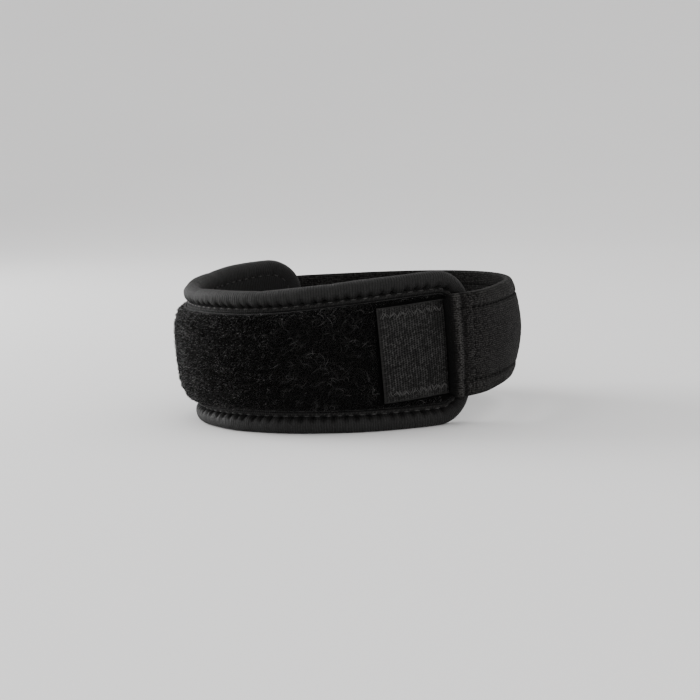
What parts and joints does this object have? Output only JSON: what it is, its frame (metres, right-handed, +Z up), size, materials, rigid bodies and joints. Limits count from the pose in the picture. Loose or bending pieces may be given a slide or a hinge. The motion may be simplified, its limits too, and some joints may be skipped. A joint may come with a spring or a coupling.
{
  "type": "patellar strap",
  "caption": "Fastened patellar strap: a padded knit band with rolled rims and a loop-pile panel, closed into a loop by a narrower strap with a woven hook tab.",
  "frame": {"origin": "below the middle of the loop, at the height of the pad's lower rim, on which it stands", "axes": "+Z up along the loop's axis, -Y out of the middle of the pad, +X towards the fastened end"},
  "size_m": [0.1202, 0.1246, 0.0513],
  "materials": {
    "black_knit": "fine knit facing on foam, soft sheen",
    "black_pile": "brushed loop pile, matt",
    "hook_tape": "ribbed woven tape, dull"
  },
  "bodies": {
    "root": {"pad": "black_knit", "loop_panel": "black_pile", "strap": "black_knit", "hook_tab": "hook_tape"}
  },
  "joints": []
}
